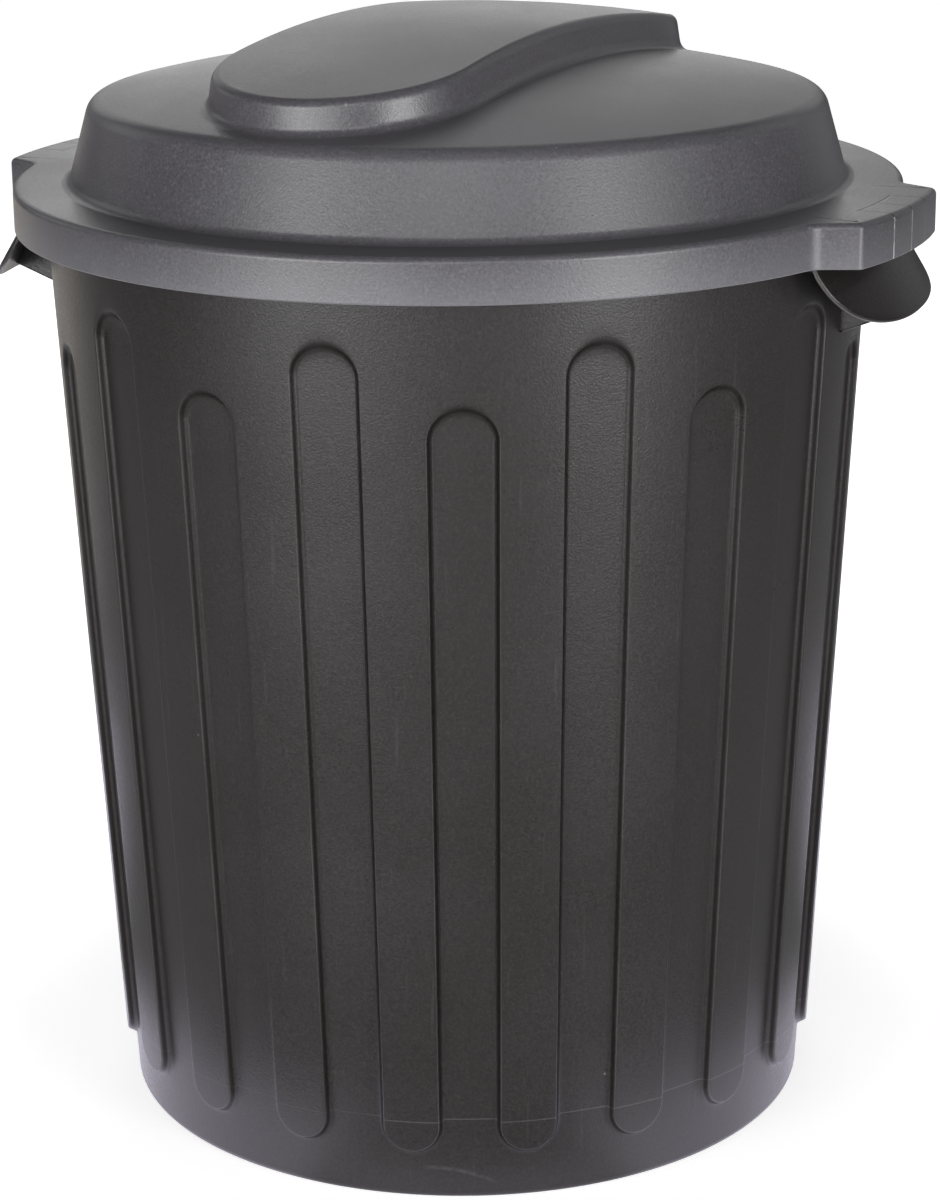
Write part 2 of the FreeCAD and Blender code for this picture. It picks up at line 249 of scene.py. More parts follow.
# A point of the wall: its radius lies between rib and flute by its depth, its angle is
# its sideways distance over the rib's radius.
def tubPoint(sideways, height, depth, line, centreAngle, inset):
    radius = ribRadius(height) + (fluteRadius(height) - ribRadius(height)) * depth
    angle = math.radians(centreAngle) + sideways / ribRadius(height)
    radius = radius - inset
    return np.stack([radius * np.sin(angle), -radius * np.cos(angle), height, line], axis=-1)


# A ring of points for each step of a profile, turned about the upright axis.
def turned(radii, heights, angles):
    radii, heights = np.asarray(radii)[:, None], np.asarray(heights)[:, None]
    ring = np.ones_like(angles)[None]
    places = [radii * np.sin(angles)[None], -radii * np.cos(angles)[None], heights * ring]
    return withEdge(np.stack(places, axis=-1))


# The profile that closes the wall above: out along the flange, down and up round the
# lip, and back across the rim to the inside.
def rimPath(wallTop):
    wall, rim, lip = tub["wall"], tub["rimHeight"], tub["lipRadius"]
    low, soft = rim - tub["lipHeight"], tub["lipRound"]
    corners = [(ribRadius(wallTop), wallTop), (ribRadius(rim - wall), rim - wall), (lip - wall, rim - wall),
               (lip - wall, low), (lip, low), (lip, rim), (ribRadius(rim) - wall, rim),
               (ribRadius(wallTop) - wall, wallTop)]
    return roundedPath(corners, [0, 2 * soft, soft, soft, soft, 1.5 * soft, soft, 0], smallArcSteps)


# The profile that closes the wall below: round the foot, across its ring and up into
# the recess.
def footPath(wallFoot):
    ring, recess = tub["fluteFootRadius"] - tub["footRing"], tub["footRecess"]
    soft = tub["lipRound"]
    corners = [(fluteRadius(wallFoot), wallFoot), (fluteRadius(0), 0), (ring, 0), (ring, recess),
               (ring / 2, recess), (0, recess)]
    return roundedPath(corners, [0, tub["footRound"], soft, soft, 0, 0], midArcSteps)


# The profile of the floor inside, from the wall's foot to the middle.
def floorPath(wallFoot):
    floor, wall = tub["footRecess"] + tub["base"], tub["wall"]
    corners = [(fluteRadius(wallFoot) - wall, wallFoot), (fluteRadius(floor) - wall, floor),
               (fluteRadius(floor) / 2, floor), (0, floor)]
    return roundedPath(corners, [0, wall, 0, 0], smallArcSteps)


# The handles, in one piece with the tub
handle = {
    "foot": 0.4796,
    "footRadius": 0.2688,
    "bend": 0.517,
    "bendSoft": 0.001,
    "top": 0.529,
    "halfWidth": 0.0990,
    "roundPower": 3.2,
    "wall": 0.003,
    "gussetSpread": 0.031,
    "gussetWall": 0.003,
    "gussetFoot": 0.4675,
    "gussetTip": 0.4825,
    # Strength of the painted highlight along the middle of a flap's free edge.
    "beadHighlight": 2.2,
}


# Outside radius of a flap: that of the lip, and below its bend a straight flare.
def flapRadius(height):
    below = handle["bend"] - height
    hinge = 0.5 * (below + np.sqrt(below ** 2 + handle["bendSoft"] ** 2))
    slope = (handle["footRadius"] - tub["lipRadius"]) / (handle["bend"] - handle["foot"])
    return tub["lipRadius"] + slope * hinge


# A flap is a shell with a full round along its free edge. Below its bend its depth
# falls off to both sides as a rounded-box curve: the power root of 1 minus that power
# of the share of the width. A painted highlight runs as a light line along the middle
# of the free edge.
def makeFlap(side):
    columns, rows, roundSteps = 72, 16, 7
    share = np.sin(np.linspace(-math.pi / 2, math.pi / 2, columns))
    power = handle["roundPower"]
    outline = (1 - np.abs(share) ** power) ** (1 / power)
    depth = handle["top"] - handle["bend"] + (handle["bend"] - handle["foot"]) * outline
    sideways = share * handle["halfWidth"]

    def surface(height):
        radius = flapRadius(height)
        out = np.sqrt(radius ** 2 - sideways ** 2)
        return np.stack([out, sideways + 0 * height, height], axis=-1)

    def outward(height):
        step = 1e-5
        lean = (flapRadius(height - step) - flapRadius(height + step)) / (2 * step)
        radius = flapRadius(height)
        out = np.sqrt(radius ** 2 - sideways ** 2)
        normal = np.stack([out / radius, sideways / radius, lean], axis=-1)
        return normal / np.linalg.norm(normal, axis=-1, keepdims=True)

    half = handle["wall"] / 2
    down = np.linspace(0, 1, rows)[:, None]
    height = handle["top"] - down * np.maximum(depth - half, 1e-6)
    outer = surface(height)
    normal = outward(height)
    middle = outer - half * normal
    edge = np.gradient(middle[-1], axis=0)
    edge /= np.linalg.norm(edge, axis=-1, keepdims=True)
    away = np.cross(edge, normal[-1])
    away *= np.where(away[:, 2:] > 0, -1, 1)
    turn = np.linspace(0, math.pi, roundSteps)[1:-1, None, None]
    bead = middle[-1] + half * (np.cos(turn) * normal[-1] + np.sin(turn) * away)
    inner = middle - half * normal
    line = np.zeros((roundSteps - 2, 1))
    # The painted highlight along the middle of the bead.
    line[len(line) // 2] = handle["beadHighlight"]
    shell = np.concatenate([withEdge(outer), withEdge(bead, line), withEdge(inner[::-1]),
                            withEdge(outer[:1])])
    shell[..., 0] *= side
    return capped(shell)


# A gusset is a plate with a rounded lower edge, let into the wall and into the flap.
def makeGusset(side, sideways):
    half = handle["gussetWall"] / 2
    columns, roundSteps = 12, 7
    wallOut = math.sqrt((ribRadius(handle["gussetFoot"]) - half) ** 2 - sideways ** 2)
    flapOut = math.sqrt((flapRadius(handle["gussetTip"]) - half) ** 2 - sideways ** 2)
    share = np.linspace(0, 1, columns)
    out = wallOut + (flapOut - wallOut) * share
    low = handle["gussetFoot"] + (handle["gussetTip"] - handle["gussetFoot"]) * share
    top = np.full(columns, tub["rimHeight"] - half)
    reach = np.sqrt((tub["lipRadius"] - half) ** 2 - sideways ** 2)
    slope = (handle["footRadius"] - tub["lipRadius"]) / (handle["bend"] - handle["foot"])
    top = np.minimum(top, handle["bend"] - (out - reach) / slope)
    top = np.maximum(top, low + half)
    turn = np.linspace(0, math.pi, roundSteps)[:, None]
    across = np.concatenate([[[0.0]], [[-half]], -half * np.cos(turn), [[half]], [[0.0]]])
    lift = np.concatenate([[top], [top], low + half - half * np.sin(turn), [top], [top]])
    across = sideways + np.broadcast_to(across, lift.shape)
    plate = np.stack([np.broadcast_to(out, lift.shape), across, lift], axis=-1)
    plate[..., 0] *= side
    return capped(withEdge(plate))


# The whole tub: outside and inside wall of tiles, the profiles that close them, and the
# handles. Tiles with a flute hang from the rim, tiles with a rib's end stand on the foot.
def makeTub():
    grids = []
    pitch = 2 * math.pi / tub["fluteCount"]
    flute = math.radians(tub["fluteHalfAngle"])
    splitHeight, wallTop, wallFoot = 0.25, 0.505, 0.012

    def halfPitch(height):
        return ribRadius(height) * pitch / 2

    def halfFlute(height):
        return ribRadius(height) * flute

    def halfRib(height):
        return ribRadius(height) * (pitch / 2 - flute)

    for inset, flip in ((0.0, False), (tub["wall"], True)):
        for i in range(tub["fluteCount"]):
            top = tub["fluteTall"] if i % 2 == 0 else tub["fluteShort"]
            tile = slotTile(halfPitch, halfFlute, top - tub["fluteArch"], tub["fluteArch"],
                            splitHeight, wallTop, False)
            grids.append((tubPoint(*tile, math.degrees(i * pitch), inset), False, not flip))
            tile = slotTile(halfPitch, halfRib, tub["ribEnd"] + tub["slopeWidth"] + tub["ribArch"],
                            -tub["ribArch"], splitHeight, wallFoot, True)
            grids.append((tubPoint(*tile, math.degrees((i + 0.5) * pitch), inset), False, flip))
    angles = np.arange(tub["fluteCount"] * archSteps) * pitch / archSteps
    for path, flip in ((rimPath(wallTop), True), (footPath(wallFoot), False), (floorPath(wallFoot), True)):
        grids.append((turned(path[:, 0], path[:, 1], angles), True, flip))
    for side in (1, -1):
        grids.append((makeFlap(side), False, side > 0))
        for sideways in (handle["gussetSpread"], -handle["gussetSpread"]):
            grids.append((makeGusset(side, sideways), False, side > 0))
    return meshFromGrids("tubShell", grids)


tubShell = makeTub()
weightNormals(tubShell)
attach(tubShell, "tub_body")
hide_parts("tub")
print("tub made")


# The lid. Its own X runs through its lugs; it lies turned on the tub.
lid = {
    "turn": -9.0,
    "wall": 0.0025,
    "flange": 0.5415,
    "skirtRadius": 0.25057,
    "skirtFoot": 0.517,
    "skirtRound": 0.0035,
    "footRound": 0.0010,
    "domeFootRadius": 0.2194,
    "domeDraft": 0.2825,
    "domeFootRound": 0.006,
    "shoulder": 0.011,
    "crownMargin": 0.0072,
    "crownTop": 0.6129,
    "crownRadius": 0.842,
    "gripTurn": -2.0,
    "gripRise": 0.0193,
    "gripFootHalf": 0.0777,
    "gripFootReach": 0.1149,
    "gripHeadHalf": 0.0729,
    "gripHeadReach": 0.1188,
    "gripHeadRound": 0.0065,
    "gripFrontDrop": 0.12,
    "gripFootRound": 0.0065,
    "lugReach": 0.2705,
    "lugRootHalf": 0.069,
    "lugFaceHalf": 0.059,
    "lugRound": 0.0045,
    "lugRootRound": 0.013,
    "lugRibPitch": 0.025,
    "lugRibWall": 0.0025,
    "lineWidth": 0.0012,
}


# The lid's edge seen from above: the skirt's circle with a lug on either side, each
# corner rounded. Points run once round, with the outward direction at each.
def lidOutline():
    radius, reach = lid["skirtRadius"], lid["lugReach"]
    root = math.asin(lid["lugRootHalf"] / radius)
    face = math.asin(lid["lugFaceHalf"] / reach)

    def arc(distance, low, high, steps, corner):
        softs = [corner] + [0] * (steps - 2) + [corner]
        turns = np.linspace(low, high, steps)
        return [(distance * math.cos(turn), distance * math.sin(turn), soft)
                for turn, soft in zip(turns, softs)]

    faceSteps, skirtSteps = 13, 97
    half = np.array(arc(reach, -face, face, faceSteps, lid["lugRound"])
                    + arc(radius, root, math.pi - root, skirtSteps, lid["lugRootRound"]))
    both = np.concatenate([half, half * [-1, -1, 1]])
    path = roundedPath(both[:, :2], both[:, 2], midArcSteps, closed=True)
    ahead = np.roll(path, -1, axis=0) - path
    behind = path - np.roll(path, 1, axis=0)
    ahead /= np.linalg.norm(ahead, axis=-1, keepdims=True)
    behind /= np.linalg.norm(behind, axis=-1, keepdims=True)
    along = ahead + behind
    along /= np.linalg.norm(along, axis=-1, keepdims=True)
    return path, np.stack([along[:, 1], -along[:, 0]], axis=-1)


# Height of the crown over a place: the root of the radius squared less the squares of
# x and y, with the radius made shorter by the drop for the inside.
def crown(x, y, drop):
    radius = lid["crownRadius"] - drop
    return lid["crownTop"] - lid["crownRadius"] + np.sqrt(radius ** 2 - x ** 2 - y ** 2)


# Distance from the middle to the edge of a long shape with round ends: the half width
# over the cosine along its sides, the end circle's far crossing beyond them.
def stadium(bearing, half, reach):
    c, s = np.cos(bearing), np.sin(bearing)
    straight = half / np.maximum(np.abs(c), 1e-9)
    onSide = straight * np.abs(s) <= reach
    atEnd = reach * np.abs(s) + np.sqrt(np.maximum(half ** 2 - (reach * c) ** 2, 0))
    return np.where(onSide, straight, atEnd)


# The lid's top as rings from the middle out: grip, crown, dome wall and start of the
# flange. Every ring has a point on the bearing of each outline point. The drop is the
# depth below the outside.
def lidSurface(drop):
    path, outward = lidOutline()
    bearing = np.arctan2(path[:, 1], path[:, 0])
    topSteps, crownSteps, settleSteps = 8, 9, 5
    beyondGrip, beyondDome = 0.02, 0.012
    rows = []

    def ring(radius, height):
        return np.stack([radius * np.cos(bearing), radius * np.sin(bearing), height + 0 * bearing], axis=-1)

    tilt = math.radians(lid["gripTurn"])
    rise, out = lid["gripRise"], lid["gripFootHalf"] - lid["gripHeadHalf"]
    head = stadium(bearing - tilt, lid["gripHeadHalf"], lid["gripHeadReach"]) - drop
    foot = stadium(bearing - tilt, lid["gripFootHalf"], lid["gripFootReach"]) - drop
    corners = [(-beyondGrip, rise), (0, rise), (out, 0), (out + beyondGrip, 0)]
    softs = [0, lid["gripHeadRound"] - drop, lid["gripFootRound"] + drop, 0]
    profile = roundedPath(corners, softs, midArcSteps)[1:-1]
    shares = np.concatenate([np.linspace(0, 1, topSteps, endpoint=False), np.ones(len(profile))])
    steps = np.concatenate([np.repeat(profile[:1], topSteps, axis=0), profile])
    for share, (stepOut, stepUp) in zip(shares, steps):
        distance = head + (foot - head) * min(max(stepOut / out, 0), 1)
        distance = (distance + min(stepOut, 0) + max(stepOut - out, 0)) * share
        x, y = distance * np.cos(bearing), distance * np.sin(bearing)
        ahead = np.clip(-y / (lid["gripHeadHalf"] + lid["gripHeadReach"]), 0, 1)
        lift = stepUp * (1 - lid["gripFrontDrop"] * ahead ** 2)
        rows.append(np.stack([x, y, crown(x, y, drop) + lift], axis=-1))
    gripEdge = rows[-1]
    foot, draft = lid["domeFootRadius"] - drop, lid["domeDraft"]
    flange = lid["flange"]
    cornerRadius = foot
    for again in range(settleSteps):
        cornerRadius = foot - draft * (float(crown(cornerRadius, 0, drop)) - flange)
    topHeight = float(crown(cornerRadius, 0, drop)) - flange
    crownEnd = cornerRadius - lid["crownMargin"]
    corners = [(crownEnd, float(crown(crownEnd, 0, drop))), (cornerRadius, flange + topHeight),
               (foot, flange - drop), (foot + beyondDome, flange - drop)]
    softs = [0, lid["shoulder"] - drop, lid["domeFootRound"] + drop, 0]
    domePath = roundedPath(corners, softs, bigArcSteps)
    edge = ring(domePath[0, 0], domePath[0, 1])
    for share in np.linspace(0, 1, crownSteps)[1:-1]:
        point = gripEdge + (edge - gripEdge) * share
        point[:, 2] = crown(point[:, 0], point[:, 1], drop)
        rows.append(point)
    rows += [ring(radius, height) for radius, height in domePath]
    return np.stack(rows), path, outward


# The whole lid: top, edge and inside as one grid of rings, then the skirt's run behind
# each lug and the lug's ribs, all turned as the lid lies on the tub. The light line along
# the skirt's foot, partly wear and partly a painted highlight on its rounding, is a bell
# curve of the distance from its outer corner.
def makeLid():
    outer, path, outward = lidSurface(0.0)
    inner, path, outward = lidSurface(lid["wall"])
    soft, flange, foot = lid["skirtRound"], lid["flange"], lid["skirtFoot"]
    wall, footSoft = lid["wall"], lid["footRound"]

    def offset(inset, height):
        place = path - outward * inset
        return np.column_stack([place, np.full(len(place), height)])

    corners = [(soft * 2, flange), (0, flange), (0, foot), (wall, foot), (wall, flange - wall),
               (wall + soft, flange - wall)]
    edgePath = roundedPath(corners, [0, soft, footSoft, footSoft, footSoft, 0], midArcSteps)
    edge = np.stack([offset(inset, height) for inset, height in edgePath])
    turn = math.radians(lid["turn"])
    # Light line at the skirt's foot: partly wear, partly a painted highlight.
    across, above = edgePath[:, 0] / lid["lineWidth"], (edgePath[:, 1] - foot) / lid["lineWidth"]
    line = np.exp(-(across ** 2 + above ** 2))
    grid = np.concatenate([withEdge(outer), withEdge(edge, line[:, None]), withEdge(inner[::-1])])
    grids = [(grid, True, False)]
    rootSteps, rootOverlap = 25, 0.004
    skirt, high, low = lid["skirtRadius"], flange - wall / 2, foot + wall
    rootTurn = np.linspace(-1, 1, rootSteps) * math.asin((lid["lugRootHalf"] + rootOverlap) / skirt)
    loop = np.array([(skirt, high), (skirt, foot), (skirt - wall, foot), (skirt - wall, high), (skirt, high)])
    half = lid["lugRibWall"] / 2
    ribLoop = [(-half, high), (-half, low), (half, low), (half, high), (-half, high)]
    for side in (0, math.pi):
        bearing = side + rootTurn
        arc = [loop[:, :1] * np.cos(bearing), loop[:, :1] * np.sin(bearing), loop[:, 1:] + 0 * bearing]
        grids.append((capped(withEdge(np.stack(arc, axis=-1))), False, False))
        for place in (-lid["lugRibPitch"], 0, lid["lugRibPitch"]):
            ends = [math.sqrt(radius ** 2 - place ** 2) - wall / 2 for radius in (skirt, lid["lugReach"])]
            plate = [[(end * math.cos(side), (place + y) * math.cos(side), z) for end in ends]
                     for y, z in ribLoop]
            grids.append((capped(withEdge(np.array(plate))), False, False))
    spun = []
    for grid, wrap, flip in grids:
        grid = grid.copy()
        x, y = grid[..., 0].copy(), grid[..., 1].copy()
        grid[..., 0] = x * math.cos(turn) - y * math.sin(turn)
        grid[..., 1] = x * math.sin(turn) + y * math.cos(turn)
        spun.append((grid, wrap, flip))
    return meshFromGrids("lidShell", spun)


lidShell = makeLid()
weightNormals(lidShell)
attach(lidShell, "lid_body")
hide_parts("lid")
print("lid made")


# Materials. Shared effects are groups of nodes that give a mask or a height.
def addNode(tree, kind, settings=None, values=None, feeds=None):
    node = tree.nodes.new(kind)
    for word, value in (settings or {}).items():
        setattr(node, word, value)
    for word, value in (values or {}).items():
        node.inputs[word].default_value = value
    for word, source in (feeds or {}).items():
        tree.links.new(source, node.inputs[word])
    return node


def newGroup(name, outputs):
    group = bpy.data.node_groups.new(name, "ShaderNodeTree")
    group.interface.new_socket("Place", in_out="INPUT", socket_type="NodeSocketVector")
    for word in outputs:
        group.interface.new_socket(word, in_out="OUTPUT", socket_type="NodeSocketFloat")
    start = group.nodes.new("NodeGroupInput")
    end = group.nodes.new("NodeGroupOutput")
    return group, start.outputs["Place"], end


def useGroup(tree, group, place):
    node = tree.nodes.new("ShaderNodeGroup")
    node.node_tree = group
    tree.links.new(place, node.inputs["Place"])
    return node.outputs


def maths(tree, operation, *values):
    node = tree.nodes.new("ShaderNodeMath")
    node.operation = operation
    for i, value in enumerate(values):
        if isinstance(value, (int, float)):
            node.inputs[i].default_value = value
        else:
            tree.links.new(value, node.inputs[i])
    return node.outputs["Value"]


def remap(tree, value, low, high, newLow, newHigh):
    node = addNode(tree, "ShaderNodeMapRange", {"interpolation_type": "SMOOTHSTEP"},
                   {"From Min": low, "From Max": high, "To Min": newLow, "To Max": newHigh}, {"Value": value})
    return node.outputs["Result"]


def noise(tree, place, scale, detail=2.0, roughness=0.5):
    values = {"Scale": scale, "Detail": detail, "Roughness": roughness}
    return addNode(tree, "ShaderNodeTexNoise", None, values, {"Vector": place}).outputs["Fac"]


# Each noise has its scale, detail and roughness, and the dust its cells per metre, its
# size as a share of a cell and its rarity.
grainLook = {
    "fine": (850.0, 1.0, 0.6),
    "cloud": (9.0, 5.0, 0.55),
    "mottle": (620.0, 2.0, 0.7),
    "speckCells": 46.0,
    "speckCore": 0.022,
    "speckEnd": 0.045,
    "speckNone": 0.93,
    "speckAll": 0.96,
}


# Fine leathery grain of a moulding, as a height, slow cloudy changes of tone, a fine
# mottle, and rare specks of dust.
def grainGroup():
    group, place, end = newGroup("mouldGrain", ("Height", "Cloud", "Mottle", "Speck"))
    for word, output in (("fine", "Height"), ("cloud", "Cloud"), ("mottle", "Mottle")):
        group.links.new(noise(group, place, *grainLook[word]), end.inputs[output])
    cells = addNode(group, "ShaderNodeTexVoronoi", None, {"Scale": grainLook["speckCells"]},
                    {"Vector": place})
    tone = addNode(group, "ShaderNodeSeparateColor", None, None, {"Color": cells.outputs["Color"]})
    near = remap(group, cells.outputs["Distance"], grainLook["speckCore"], grainLook["speckEnd"], 1.0, 0.0)
    rare = remap(group, tone.outputs["Red"], grainLook["speckNone"], grainLook["speckAll"], 0.0, 1.0)
    group.links.new(maths(group, "MULTIPLY", near, rare), end.inputs["Speck"])
    return group


# Heights and widths of lines in metres, places round the wall in radians from the front.
wallLook = {
    "streakTurn": 0.22,
    "streakHeight": 0.045,
    "streakScale": 260.0,
    "streakNone": 0.66,
    "streakAll": 0.74,
    "wobbleScale": 7.0,
    "wobbleDetail": 3.0,
    "wobbleDrop": -0.0022,
    "levelHeight": 0.0488,
    "levelCore": 0.00015,
    "levelEnd": 0.00050,
    "levelWorn": 0.50,
    "levelWhole": 0.60,
    "levelLeast": 0.30,
    "scuffTurn": 0.285,
    "scuffHeight": 0.0180,
    "scuffTilt": 0.046,
    "scuffBow": -0.30,
    "scuffCore": 0.0003,
    "scuffEnd": 0.0018,
    "scuffWhole": 0.060,
    "scuffReach": 0.120,
    "raggedScale": 240.0,
    "raggedWorn": 0.35,
    "raggedWhole": 0.60,
    "raggedLeast": 0.30,
}


# Upright hairlines round the wall, the fine level line that the mould leaves near the
# foot, and a slanting, slightly bowed scuff on the foot band.
def wallGroup():
    look = wallLook
    group, place, end = newGroup("wallMarks", ("Hairline", "Level", "Scuff"))
    axes = addNode(group, "ShaderNodeSeparateXYZ", None, None, {"Vector": place})
    turn = maths(group, "ARCTAN2", axes.outputs["X"], maths(group, "MULTIPLY", axes.outputs["Y"], -1.0))
    wrap = addNode(group, "ShaderNodeCombineXYZ", None, None,
                   {"X": maths(group, "MULTIPLY", turn, look["streakTurn"]),
                    "Y": maths(group, "MULTIPLY", axes.outputs["Z"], look["streakHeight"])})
    streak = noise(group, wrap.outputs["Vector"], look["streakScale"])
    streak = remap(group, streak, look["streakNone"], look["streakAll"], 0.0, 1.0)
    group.links.new(streak, end.inputs["Hairline"])
    wobble = noise(group, place, look["wobbleScale"], look["wobbleDetail"])
    height = maths(group, "ADD", axes.outputs["Z"], maths(group, "MULTIPLY", wobble, look["wobbleDrop"]))
    away = maths(group, "ABSOLUTE", maths(group, "SUBTRACT", height, look["levelHeight"]))
    worn = remap(group, wobble, look["levelWorn"], look["levelWhole"], look["levelLeast"], 1.0)
    level = maths(group, "MULTIPLY", remap(group, away, look["levelCore"], look["levelEnd"], 1.0, 0.0), worn)
    group.links.new(level, end.inputs["Level"])
    across = maths(group, "SUBTRACT", turn, look["scuffTurn"])
    low = maths(group, "ADD", axes.outputs["Z"], maths(group, "MULTIPLY", across, look["scuffTilt"]))
    bow = maths(group, "MULTIPLY", maths(group, "MULTIPLY", across, across), look["scuffBow"])
    off = maths(group, "SUBTRACT", maths(group, "SUBTRACT", low, bow), look["scuffHeight"])
    band = remap(group, maths(group, "ABSOLUTE", off), look["scuffCore"], look["scuffEnd"], 1.0, 0.0)
    inside = remap(group, maths(group, "ABSOLUTE", across), look["scuffWhole"], look["scuffReach"], 1.0, 0.0)
    ragged = remap(group, noise(group, place, look["raggedScale"]), look["raggedWorn"], look["raggedWhole"],
                   look["raggedLeast"], 1.0)
    scuff = maths(group, "MULTIPLY", maths(group, "MULTIPLY", band, inside), ragged)
    group.links.new(scuff, end.inputs["Scuff"])
    return group


lugLook = {
    "lineCore": 0.0004,
    "lineEnd": 0.0009,
    "ringEnd": 0.0010,
    "ringMore": 0.001,
    "topDepth": 0.002,
    "faceMargin": 0.001,
    "faceLeast": 0.75,
    "farLight": 0.15,
    "brokenScale": 160.0,
    "brokenWorn": 0.35,
    "brokenWhole": 0.55,
    "brokenLeast": 0.45,
}


# The dark lines that ribs and skirt leave on a lug's top, and the broken light
# scratches that follow the ribs down its face.
def lugGroup():
    look, pitch, skirt = lugLook, lid["lugRibPitch"], lid["skirtRadius"]
    group, place, end = newGroup("lugMarks", ("Line", "Light"))
    square = addNode(group, "ShaderNodeVectorRotate", {"rotation_type": "Z_AXIS"},
                     {"Angle": math.radians(-lid["turn"])}, {"Vector": place})
    axes = addNode(group, "ShaderNodeSeparateXYZ", None, None, {"Vector": square.outputs["Vector"]})
    x, y, z = (axes.outputs[word] for word in ("X", "Y", "Z"))
    side = maths(group, "ABSOLUTE", y)
    squares = maths(group, "ADD", maths(group, "MULTIPLY", x, x), maths(group, "MULTIPLY", y, y))
    reach = maths(group, "SQRT", squares)
    middle = remap(group, side, look["lineCore"], look["lineEnd"], 1.0, 0.0)
    outer = maths(group, "ABSOLUTE", maths(group, "SUBTRACT", side, pitch))
    outer = remap(group, outer, look["lineCore"], look["lineEnd"], 1.0, 0.0)
    beyond = maths(group, "GREATER_THAN", reach, skirt)
    spokes = maths(group, "MULTIPLY", maths(group, "MAXIMUM", middle, outer), beyond)
    ring = maths(group, "ABSOLUTE", maths(group, "SUBTRACT", reach, skirt))
    ring = remap(group, ring, look["lineCore"], look["ringEnd"], 1.0, 0.0)
    within = maths(group, "LESS_THAN", side, pitch + look["ringMore"])
    line = maths(group, "MAXIMUM", spokes, maths(group, "MULTIPLY", ring, within))
    onTop = maths(group, "GREATER_THAN", z, lid["flange"] - look["topDepth"])
    group.links.new(maths(group, "MULTIPLY", line, onTop), end.inputs["Line"])
    low, high = lid["skirtFoot"] + look["faceMargin"], lid["flange"] - look["faceMargin"]
    onFace = maths(group, "MAXIMUM", remap(group, z, low, high, 1.0, 0.0), look["faceLeast"])
    nearest = remap(group, y, -pitch, pitch, 1.0, look["farLight"])
    broken = remap(group, noise(group, place, look["brokenScale"]), look["brokenWorn"], look["brokenWhole"],
                   look["brokenLeast"], 1.0)
    light = maths(group, "MULTIPLY", spokes, maths(group, "SUBTRACT", 1.0, onTop))
    light = maths(group, "MULTIPLY", light, maths(group, "MULTIPLY", nearest, broken))
    group.links.new(maths(group, "MULTIPLY", light, onFace), end.inputs["Light"])
    return group


grain = grainGroup()
wallMarks = wallGroup()
lugMarks = lugGroup()


def mixColour(tree, share, first, second):
    node = tree.nodes.new("ShaderNodeMix")
    node.data_type = "RGBA"
    for i, value in ((0, share), (6, first), (7, second)):
        if isinstance(value, (tuple, float)):
            node.inputs[i].default_value = (*value, 1) if isinstance(value, tuple) else value
        else:
            tree.links.new(value, node.inputs[i])
    return node.outputs[2]


def startMaterial(name):
    material = bpy.data.materials.new(name)
    material.use_nodes = True
    tree = material.node_tree
    shader = tree.nodes["Principled BSDF"]
    place = addNode(tree, "ShaderNodeTexCoord").outputs["Object"]
    return material, tree, shader, place


# Where clouds and mottle begin and end to act, and how much they change.
mouldingLook = {
    "cloudFrom": 0.35,
    "cloudTo": 0.65,
    "mottleLow": 0.25,
    "mottleMiddle": 0.50,
    "mottleHigh": 0.75,
    "darker": 0.55,
    "lighter": 1.6,
    "dullFrom": 0.3,
    "dullTo": 0.7,
    "dullCloud": 0.03,
    "dullMottle": 0.04,
}


# Body colour: two tints in slow clouds, then a fine mottle lighter and darker.
def moulded(tree, marks, dark, light, mottle):
    look = mouldingLook
    below = tuple(part * look["darker"] for part in dark)
    above = tuple(part * look["lighter"] for part in light)
    cloud = remap(tree, marks["Cloud"], look["cloudFrom"], look["cloudTo"], 0.0, 1.0)
    low = remap(tree, marks["Mottle"], look["mottleLow"], look["mottleMiddle"], mottle, 0.0)
    high = remap(tree, marks["Mottle"], look["mottleMiddle"], look["mottleHigh"], 0.0, mottle)
    colour = mixColour(tree, low, mixColour(tree, cloud, dark, light), below)
    return mixColour(tree, high, colour, above)


# Gloss: the roughness follows the clouds and the mottle, the bump follows the height.
def finish(tree, shader, marks, height, depth, rough, gloss):
    look, cloud, mottle = mouldingLook, mouldingLook["dullCloud"], mouldingLook["dullMottle"]
    spread = remap(tree, marks["Cloud"], look["dullFrom"], look["dullTo"], rough - cloud, rough + cloud)
    fine = remap(tree, marks["Mottle"], look["cloudFrom"], look["cloudTo"], -mottle, mottle)
    tree.links.new(maths(tree, "ADD", spread, fine), shader.inputs["Roughness"])
    shader.inputs["Specular IOR Level"].default_value = gloss
    bump = addNode(tree, "ShaderNodeBump", None, {"Strength": 1.0, "Distance": depth}, {"Height": height})
    tree.links.new(bump.outputs["Normal"], shader.inputs["Normal"])


# The worn, dust and hollow colours go over the body colour by the strengths below them. The hollow colour is
# painted shade darkening the flutes' slopes.
tubLook = {
    "dark": (0.0142, 0.0115, 0.0112),
    "light": (0.0173, 0.0146, 0.0145),
    # The worn colour also paints the light line on the edges: partly wear, partly a painted highlight.
    "worn": (0.11, 0.108, 0.112),
    "dust": (0.20, 0.19, 0.18),
    # Colour of the painted shade on the slopes.
    "hollow": (0.008, 0.006, 0.005),
    "hairline": 0.10,
    "rubSheenFrom": 0.40,
    "rubSheenTo": 0.60,
    "rubSheenLeast": 0.20,
    "rubSheenMost": 0.58,
    "level": 0.50,
    "scuff": 0.30,
    "speck": 0.6,
    # How much the painted shade also cuts the gloss on the slopes.
    "shadeDulling": 0.8,
    "mottle": 0.9,
    "grainDepth": 0.00013,
    "rough": 0.34,
    "gloss": 0.65,
}


